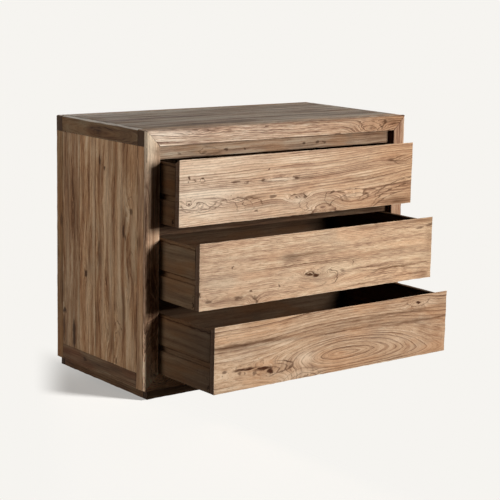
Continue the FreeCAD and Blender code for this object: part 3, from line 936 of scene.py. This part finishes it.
carcassFrame = {
    "cornerRound": 0.004,
    "roundSteps": 4,
    "wear": dict(arris=0.0009, wander=0.0004, chip=0.001, station=0.02),
    "seed": 41,
    "wood": dict(
        stain=(0.46, 0.4, 0.32), end="3a2c20", spacing=6, lineSharpness=3, streakStrength=1.2, wornEdge=0.15,
        endShare=0.95),
}
carcassFrame["members"] = {
    "front_post_left": dict(grain="zyx", stain=(0.865, 0.775, 0.665), marks=((440, 20, 20, 10, 0.6),)),
    # painted shade: its inner face is painted dark
    "front_post_right": dict(grain="zyx", stain=(0.85, 0.74, 0.61), darkFace=("x", -1)),
    "rear_post_left": dict(grain="zyx", stain=(0.41, 0.345, 0.25), knots=((440, 8, 20, 8, 0.5),)),
    "rear_post_right": dict(grain="zyx"),
    # painted sheen: the same blue-grey stain and brightening to the right as the top boards
    "top_front_rail": dict(grain="xyz", end="3d2c1b", stain=(0.74, 0.8, 0.86), rightTone=(1.4, 1.45, 1.55)),
    "top_rear_rail": dict(grain="xyz", stain=(0.66, 0.68, 0.7), rightTone=(1.2, 1.2, 1.2)),
    # its upper face is painted nearly white: part fading, part painted sheen
    "side_top_rail_left": dict(
        grain="yzx", stain=(0.28, 0.248, 0.2), lineStrength=1.2, streakStrength=1.7, waver=12,
        weathered="f8ecde", heart=(200, 20, 10), lean=0.1, leanBack=0.1, bandStrength=1.6),
    "side_top_rail_right": dict(grain="yzx", stain=(0.33, 0.28, 0.23), weathered="b0a08e"),
    "side_bottom_rail_left": dict(
        grain="yzx", stain=(0.3, 0.262, 0.222), bandStrength=1.9, blush="c07f5c", blushShare=0.6,
        pales=((60, 20, 60, 9, 0.3), (190, 32, 90, 8, 0.3), (330, 16, 60, 8, 0.3)),
        marks=((120, 34, 60, 8, 0.6), (270, 14, 70, 8, 0.5), (405, 24, 40, 16, 0.5)),
        knots=((290, 26, 8, 5, 0.6),)),
    "side_bottom_rail_right": dict(grain="yzx", stain=(0.32, 0.28, 0.24)),
    # painted shade: the recessed rail's stain and drift darken it where the frame shades it
    "drawer_rail_top": dict(
        grain="xzy", stain=(0.5, 0.5, 0.5), leftTone=(1.2, 1.3, 1.4), rightTone=(0.9, 0.86, 0.84),
        greyShare=0.5, fibreStrength=0.7,
        knots=(
            (100, 14, 5, 5, 0.5), (190, 12, 9, 5, 0.45), (270, 16, 7, 5, 0.6), (340, 14, 4, 4, 0.6),
            (570, 18, 6, 4, 0.6), (624, 18, 6, 4, 0.6), (650, 16, 5, 4, 0.5)),
        curls=((208, 16, 34, 10, 0, -2, 1.4, 0.45), (190, 14, 60, 12, 0, 0, 1.3, 0.4))),
    # painted shade: these rails sit in the drawers' shadow and are stained near black
    "drawer_rail_upper": dict(grain="xzy", stain=(0.172, 0.15, 0.135)),
    "drawer_rail_middle": dict(grain="xzy", stain=(0.2, 0.175, 0.158)),
    "bottom_front_rail": dict(grain="xzy"),
    "bottom_rear_rail": dict(grain="xzy"),
}


def cornerEdge(a, b):  # the four upright corners and the rim of the top
    onBack = bothNear(a.y, b.y, carcassBack)
    onTop = bothNear(a.z, b.z, topHeight)
    onSides = bothNear(abs(a.x), abs(b.x), halfWidth)
    return (onBack and onSides) or (onTop and onBack) or (onTop and onSides and near(a.x, b.x))


for number, (node, finish) in enumerate(carcassFrame["members"].items()):
    timber = copyTimber(node)
    roundOver(timber, carcassFrame["cornerRound"], carcassFrame["roundSteps"], cornerEdge)
    finish = dict(carcassFrame["wood"], seed=carcassFrame["seed"] + number, **finish)
    finishTimber(timber, node, carcassFrame["wear"], finish)
print("posts and rails shaped")

chestTop = {
    "seed": 60,
    "wear": dict(arris=0.0007, wander=0.0004, chip=0.0006, station=0.03),
    "wood": dict(
        # the blue-grey stain is partly painted sheen over the wood's own tone, and the brightening to the
        # right is painted sheen
        stain=(0.74, 0.83, 0.92), end="3f2f22", wornEdge=0.1, roughness=0.8, gloss=0.12, bandStrength=1.9,
        bandWidth=22, streakStrength=1.9, streakSize=(170, 5), lineStrength=0.8, lineSharpness=3,
        blushShare=0.1, heart=(300, -200, 20), leftTone=(0.95, 0.96, 0.98), rightTone=(1.4, 1.45, 1.55)),
}

for number in (1, 2, 3):
    node = "top_board_%d" % number
    finish = dict(chestTop["wood"], grain="xyz", seed=chestTop["seed"] + number)
    finishTimber(tonguedBoard(node, 0, 2), node, chestTop["wear"], finish, 1)
print("top shaped")

lowerParts = {
    "plinthWood": dict(stain=(0.2, 0.16, 0.12), end="2c2018", spacing=6, wornEdge=0.2),
    "panelWood": dict(
        stain=(0.78, 0.66, 0.54), spacing=9, end="4b3827", streakStrength=0.8, streakSize=(220, 5),
        fibreStrength=0.6, bandStrength=0.8, lineSharpness=3, blushShare=0.2, blush="b98a64"),
    "plinthGrain": {"plinth_front": "xzy", "plinth_rear": "xzy", "plinth_side_left": "yzx",
                    "plinth_side_right": "yzx"},
    "panelGrain": {"back_panel": "xzy", "bottom_panel": "xyz"},
    "plinthSeed": 70,
    "panelSeed": 80,
    "stripSeed": 90,
    "plinthWear": dict(wander=0.0004, chip=0.0012),
    "panelWear": dict(arris=0.0005, wander=0.0003, chip=0.0005, station=0.05),
    "stripWear": dict(arris=0.0006, wander=0.0002, chip=0.0004, station=0.05),
}

for kind in ("plinth", "panel"):
    for number, (node, grain) in enumerate(lowerParts[kind + "Grain"].items()):
        finish = dict(lowerParts[kind + "Wood"], grain=grain, seed=lowerParts[kind + "Seed"] + number)
        finishTimber(sawBlank(node), node, lowerParts[kind + "Wear"], finish)

strips = [node for node in frame["nodes"]
          if node.startswith(("runner_upper", "runner_middle", "runner_lower", "top_cleat"))]
for number, node in enumerate(strips):
    finish = dict(lowerParts["panelWood"], grain="yzx", seed=lowerParts["stripSeed"] + number)
    finishTimber(copyTimber(node), node, lowerParts["stripWear"], finish)
print("plinth, back and hidden pieces shaped")

screws = {"bright": "8f8a82", "dull": "5a4f45", "grainScale": 900.0}
steel = Finish("steel_screws")
steelGrain = steel.noise(steel.coordinates("Object"), 3.0, 0.6, screws["grainScale"])
steelColour = steel.blend(steel.rise(steelGrain, 0.4, 0.7), linear(screws["bright"]), linear(screws["dull"]))
steel.surface(steel.node("BsdfPrincipled", {
    "Base Color": steelColour, "Metallic": 1.0, "Roughness": steelGrain * 0.3 + 0.3}))
dress(frame["nodes"]["runner_screws"], steel.material)

studio = {
    "background": "f6f4f0",
    "floorSize": 60.0,
    "floorHidden": "2c2a27",  # what the floor sends back up at the chest
    "unshadowed": 0.41,  # share of the floor's brightness that a shadow leaves
    "shadowSlant": 0.56,  # the shadow fades out along a slanting line left of the chest
    "shadowReach": 0.81,
    "shadowFade": 0.14,
    "shadowRear": (0.8, 0.1),  # and thins out towards the back, none at the first of these
    "shadowSide": (-0.4, -0.5),  # it stays left of these, where the carcass throws it
    "ambient": 0.014,
    "sunTravel": (-0.54, 0.65, -1.9),
    "sunSpread": 6.0,
    "cameraPlace": (-2.8711, -3.6417, 1.2657),
    "cameraTurns": ((-37.929, "Z"), (90 - 10.831, "X"), (1.199, "Z")),  # from looking straight down
    "focalPixels": 1509.4,
    "framePixels": 500,
    "sensorWidth": 36.0,
    "lampAim": (0, -0.05, 0.42),
}

lamps = {  # where each stands from the chest, how wide it is and the light that reaches the chest
    "key": dict(towards=(0.36, -1, 0.27), distance=4.5, width=1.1, level=1.05, colour=(1, 0.975, 0.94)),
    "leftFill": dict(towards=(-1, 0.36, 0.22), distance=4, width=1.6, level=0.34, colour=(1, 0.98, 0.96)),
    "backFill": dict(towards=(0.2, 1, 0.12), distance=4, width=2, level=0.55, colour=(1, 0.99, 0.98)),
    "rightFill": dict(towards=(1, 0.3, 0.06), distance=4, width=1.6, level=0.6, colour=(1, 0.98, 0.96)),
}

clearSelection()
bpy.ops.mesh.primitive_grid_add(x_subdivisions=4, y_subdivisions=4, size=studio["floorSize"])
floor = bpy.context.active_object
floor.name = "studioFloor"
floor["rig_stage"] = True
pale = linear(studio["background"])
floorFinish = Finish("studio_floor")
floorX, floorY = floorFinish.parts(floorFinish.coordinates("Object"))[:2]
rim = floorX - floorY * studio["shadowSlant"] + studio["shadowReach"]
shadowDepth = floorFinish.rise(rim, 0.0, studio["shadowFade"], 1 - studio["unshadowed"])
for place, key in ((floorY, "shadowRear"), (floorX, "shadowSide")):
    shadowDepth = shadowDepth * floorFinish.rise(place, *studio[key])
matt = floorFinish.node("BsdfDiffuse", {0: pale})
glow = floorFinish.node("Emission", {0: pale, 1: 1.0})
shown = floorFinish.node("MixShader", {0: shadowDepth, 1: glow, 2: matt})
quiet = floorFinish.node("BsdfDiffuse", {0: linear(studio["floorHidden"])})
floorFinish.surface(floorFinish.node("MixShader", {0: floorFinish.seen(), 1: quiet, 2: shown}))
dress(floor, floorFinish.material)

world = bpy.data.worlds.new("studio")
scene.world = world
sky = Finish("studio", world)
skyPale = sky.node("Background", {0: pale, 1: 1.0})
skyDim = sky.node("Background", {0: (1, 1, 1, 1), 1: studio["ambient"]})
sky.surface(sky.node("MixShader", {0: sky.seen(), 1: skyDim, 2: skyPale}), "World")


def addLighting(name, *things):  # a collection that says what a lamp lights or what blocks it
    group = bpy.data.collections.new(name)
    scene.collection.children.link(group)
    for thing in things:
        group.objects.link(thing)
    return group


def addLamp(name, kind, place, aim):
    lamp = bpy.data.lights.new(name, kind)
    holder = bpy.data.objects.new(name, lamp)
    scene.collection.objects.link(holder)
    holder.location = place
    holder.rotation_euler = (place - aim).to_track_quat("Z", "Y").to_euler()
    return holder


chestOnly = addLighting("litByLamps", *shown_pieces())
lampAim = Vector(studio["lampAim"])
for name, lamp in lamps.items():
    place = lampAim + Vector(lamp["towards"]).normalized() * lamp["distance"]
    holder = addLamp(name, "AREA", place, lampAim)
    holder.data.shape = "SQUARE"
    holder.data.size = lamp["width"]
    holder.data.color = lamp["colour"]
    holder.data.energy = lamp["level"] * (math.pi * lamp["distance"]) ** 2
    holder.light_linking.receiver_collection = chestOnly

travel = Vector(studio["sunTravel"])
sun = addLamp("floorSun", "SUN", -travel, Vector((0, 0, 0)))
sun.data.angle = math.radians(studio["sunSpread"])
sun.data.energy = math.pi / abs(travel.normalized().z)
sun.light_linking.receiver_collection = addLighting("litBySun", floor)
sun.light_linking.blocker_collection = addLighting("castsOnFloor", *[
    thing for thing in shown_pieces() if "drawer" not in thing.name.lower().replace("drawerrail", "")])

lens = bpy.data.cameras.new("camera")
lens.sensor_width = studio["sensorWidth"]
lens.lens = studio["focalPixels"] * lens.sensor_width / studio["framePixels"]
lens.clip_end = 200.0
camera = bpy.data.objects.new("camera", lens)
scene.collection.objects.link(camera)
camera.matrix_world = Matrix.Translation(studio["cameraPlace"])
for degrees, axis in studio["cameraTurns"]:
    camera.matrix_world = camera.matrix_world @ Matrix.Rotation(math.radians(degrees), 4, axis)
scene.camera = camera
scene.view_settings.view_transform = "Standard"
print("studio set")
